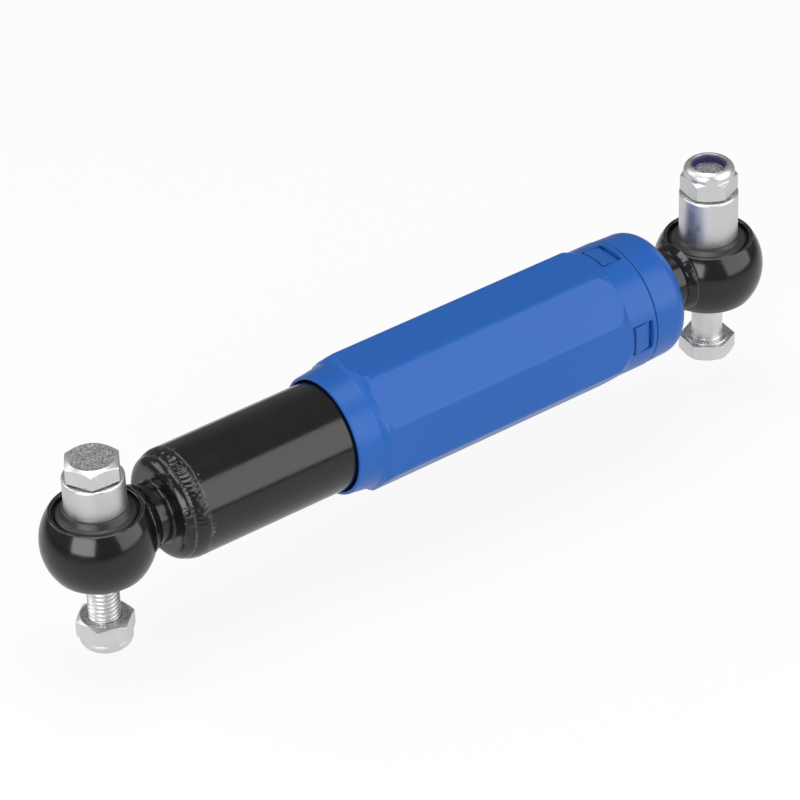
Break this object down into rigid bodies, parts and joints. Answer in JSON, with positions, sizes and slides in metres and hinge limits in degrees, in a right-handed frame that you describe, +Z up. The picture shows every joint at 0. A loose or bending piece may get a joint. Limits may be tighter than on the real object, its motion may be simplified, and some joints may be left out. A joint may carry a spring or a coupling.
{
  "type": "trailer shock absorber",
  "caption": "Hydraulic twin-tube trailer damper with ball-shaped rubber-bushed eyes, through bolts with locking nuts, and an octagonal clip-on plastic dust cover over the rod.",
  "frame": {"origin": "centre of the lower seat face of the cylinder eye's inner sleeve", "axes": "+X along the damper from the cylinder eye to the rod eye, +Z up along both bolts, +Y completes the right-handed set; the damper's own axis lies 15 mm above the origin"},
  "size_m": [0.322, 0.0506, 0.0902],
  "materials": {
    "black_paint": "gloss black stove enamel",
    "zinc_plate": "bright zinc plate over steel",
    "blue_plastic": "smooth moulded polypropylene, bright blue",
    "rubber": "dark natural rubber",
    "steel": "drawn or pressed steel, oiled",
    "hard_chrome": "ground hard chrome",
    "sintered_steel": "sintered steel, machined",
    "bearing_bronze": "bearing bronze",
    "nylon": "violet-blue nylon",
    "ptfe": "filled PTFE"
  },
  "bodies": {
    "cylinder_sleeve": {"cylinder_sleeve": "zinc_plate"},
    "cylinder": {"cylinder_eye": "black_paint", "cylinder_bush": "rubber", "cylinder_eye_weld": "black_paint", "end_cap": "black_paint", "end_cap_weld": "black_paint", "outer_tube": "black_paint", "pressure_tube": "steel", "foot_valve_body": "sintered_steel", "foot_intake_disc": "steel", "foot_blow_off_disc": "steel", "foot_valve_spring": "steel", "foot_valve_rivet": "steel", "rod_guide": "sintered_steel", "guide_bush": "bearing_bronze", "rod_seal": "rubber", "seal_washer": "steel"},
    "piston_ring": {"piston_ring": "ptfe"},
    "rod": {"piston": "sintered_steel", "piston_upper_disc": "steel", "piston_lower_disc": "steel", "piston_washer": "steel", "piston_nut": "steel", "piston_rod": "hard_chrome", "rebound_washer": "steel", "rebound_stop": "rubber", "bump_stop": "rubber", "rod_boss": "black_paint", "cover_plate": "steel", "dust_cover": "blue_plastic", "cover_end_cap": "blue_plastic", "rod_eye": "black_paint", "rod_eye_weld": "black_paint", "rod_bush": "rubber"},
    "cylinder_bolt": {"cylinder_bolt": "zinc_plate"},
    "cylinder_nut": {"cylinder_nut": "zinc_plate", "cylinder_nut_ring": "nylon"},
    "rod_sleeve": {"rod_sleeve": "zinc_plate"},
    "rod_bolt": {"rod_bolt": "zinc_plate"},
    "rod_nut": {"rod_nut": "zinc_plate", "rod_nut_ring": "nylon"}
  },
  "joints": [
    {"name": "cylinder_eye_twist", "type": "hinge", "parent": "cylinder_sleeve", "child": "cylinder", "pos_m": [0, 0, 0.015], "axis": [0, 0, 1], "range_deg": [-15, 15], "stiffness_Nm_per_rad": 40},
    {"name": "rod_stroke", "type": "slide", "parent": "cylinder", "child": "piston_ring", "axis": [1, 0, 0], "range_m": [-0.055, 0.045]},
    {"name": "rod_turn", "type": "hinge", "parent": "piston_ring", "child": "rod", "pos_m": [0, 0, 0.015], "axis": [1, 0, 0], "continuous": true},
    {"name": "rod_eye_twist", "type": "hinge", "parent": "rod", "child": "rod_sleeve", "pos_m": [0.28, 0, 0.015], "axis": [0, 0, 1], "range_deg": [-15, 15], "stiffness_Nm_per_rad": 40},
    {"name": "cylinder_bolt_turn", "type": "hinge", "parent": "cylinder_sleeve", "child": "cylinder_bolt", "pos_m": [0, 0, 0.015], "axis": [0, 0, 1], "range_deg": [-3703, 2469]},
    {"name": "cylinder_nut_run", "type": "slide", "parent": "cylinder_sleeve", "child": "cylinder_nut", "axis": [0, 0, 1], "range_m": [-0.012, 0.018]},
    {"name": "rod_nut_turn", "type": "hinge", "parent": "rod_sleeve", "child": "rod_nut", "pos_m": [0.28, 0, 0.015], "axis": [0, 0, 1], "range_deg": [-3498, 2469]},
    {"name": "rod_bolt_draw", "type": "slide", "parent": "rod_sleeve", "child": "rod_bolt", "axis": [0, 0, 1], "range_m": [-0.012, 0.017]}
  ],
  "couplings": [
    {"joint": "cylinder_bolt_turn", "follows": "cylinder_nut_run", "rad_per_m": -3590.4},
    {"joint": "rod_nut_turn", "follows": "rod_bolt_draw", "rad_per_m": -3590.4}
  ]
}
